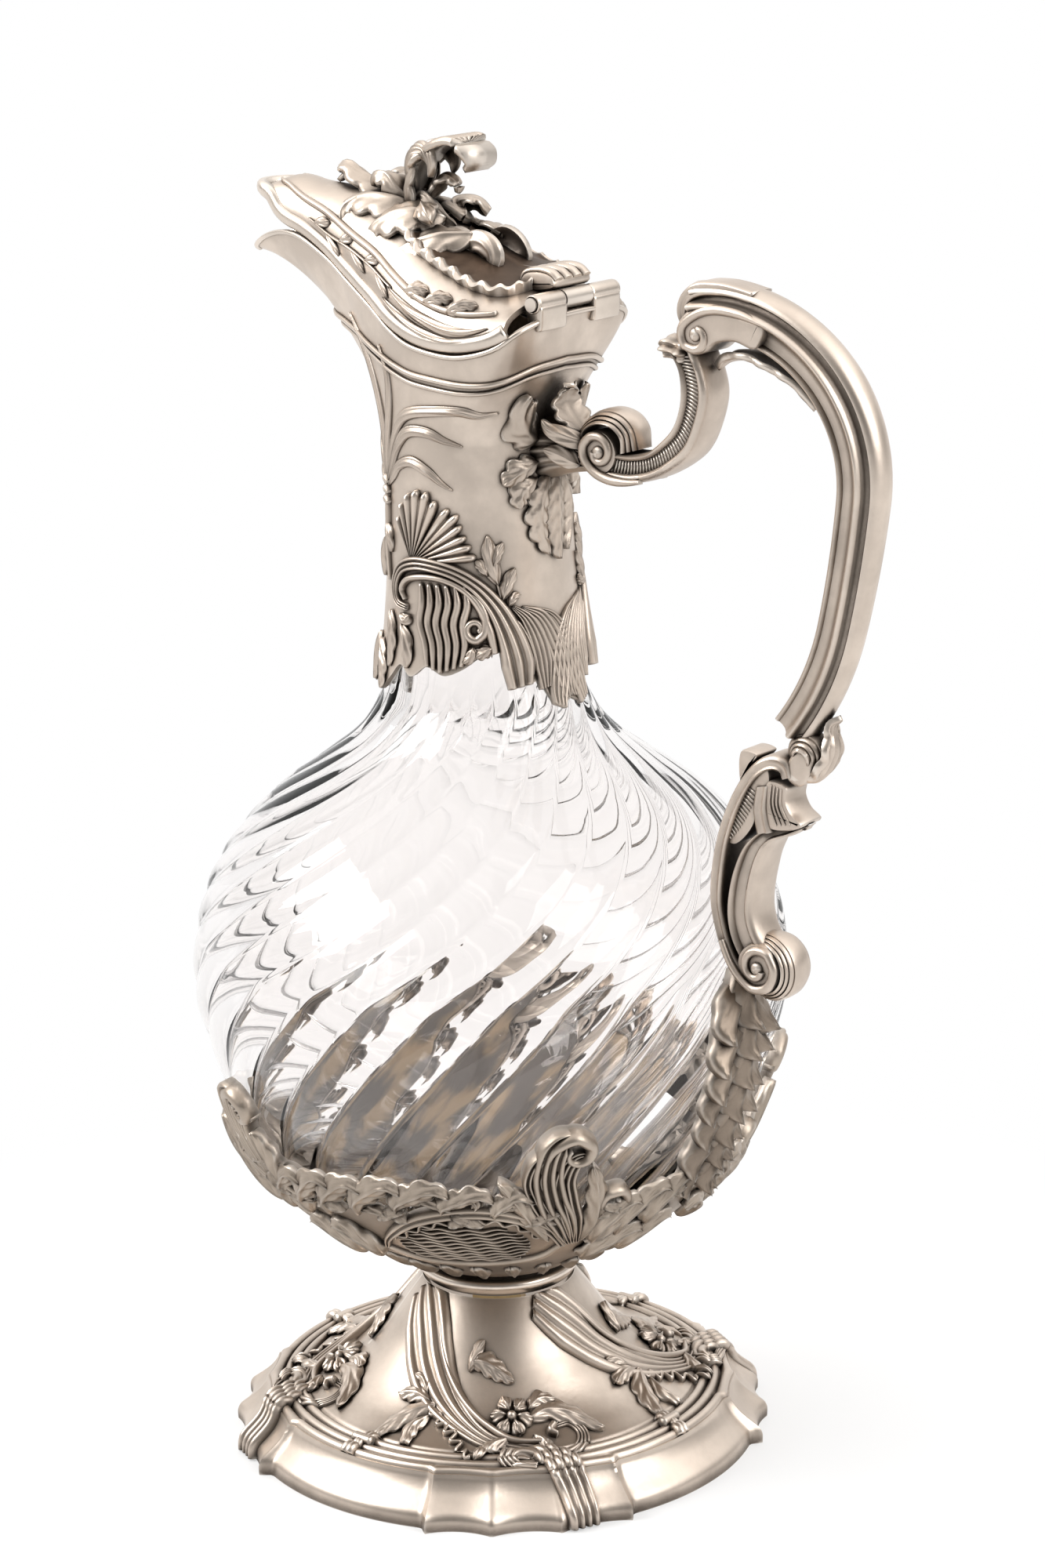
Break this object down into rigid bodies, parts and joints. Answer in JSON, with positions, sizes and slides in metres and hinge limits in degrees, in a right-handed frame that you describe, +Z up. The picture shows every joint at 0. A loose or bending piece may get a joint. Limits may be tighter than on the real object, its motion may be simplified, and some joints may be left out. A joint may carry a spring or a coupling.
{
  "type": "claret jug",
  "caption": "Footed crystal jug with swirled lobes in a silver calyx and neck mount, with a hinged lid, a spout and a scroll handle.",
  "frame": {"origin": "where the axis of the round foot meets the table", "axes": "+Z up along the axis of the foot, +X towards the handle, -X towards the spout, Y along the lid hinge"},
  "size_m": [0.1686, 0.13, 0.2883],
  "materials": {
    "silver": "satin silver with worn bright edges",
    "chased_silver": "chased silver, dark in its recesses",
    "crystal": "clear polished crystal",
    "plaster": "set plaster",
    "brass": "turned brass"
  },
  "bodies": {
    "jug": {"foot": "silver", "foot_corner_scrolls": "chased_silver", "stem_collar": "silver", "fixing_stud": "brass", "fixing_washer": "brass", "fixing_nut": "brass", "calyx": "silver", "calyx_cartouches": "chased_silver", "calyx_plumes": "chased_silver", "calyx_bedding": "plaster", "crystal_body": "crystal", "neck_bedding": "plaster", "neck_mount": "silver", "neck_cartouches": "chased_silver", "spout_spray": "chased_silver", "mouth_rim": "silver", "mouth_moulding": "silver", "hinge_bracket": "silver", "hinge_pin": "silver", "handle_socket": "chased_silver", "handle_upper_scroll": "chased_silver", "handle_grip": "silver", "handle_lower_scroll": "chased_silver", "handle_leaf_drop": "chased_silver"},
    "lid": {"lid_shell": "silver", "lid_rim": "silver", "lid_knuckle": "silver", "lid_acanthus": "chased_silver", "lid_thumbpiece": "chased_silver", "lid_ruffle": "chased_silver", "lid_heel_scroll": "chased_silver"}
  },
  "joints": [
    {"name": "lid_hinge", "type": "hinge", "parent": "jug", "child": "lid", "pos_m": [0.026, 0, 0.2564], "axis": [0, 1, 0], "range_deg": [0, 85]}
  ]
}
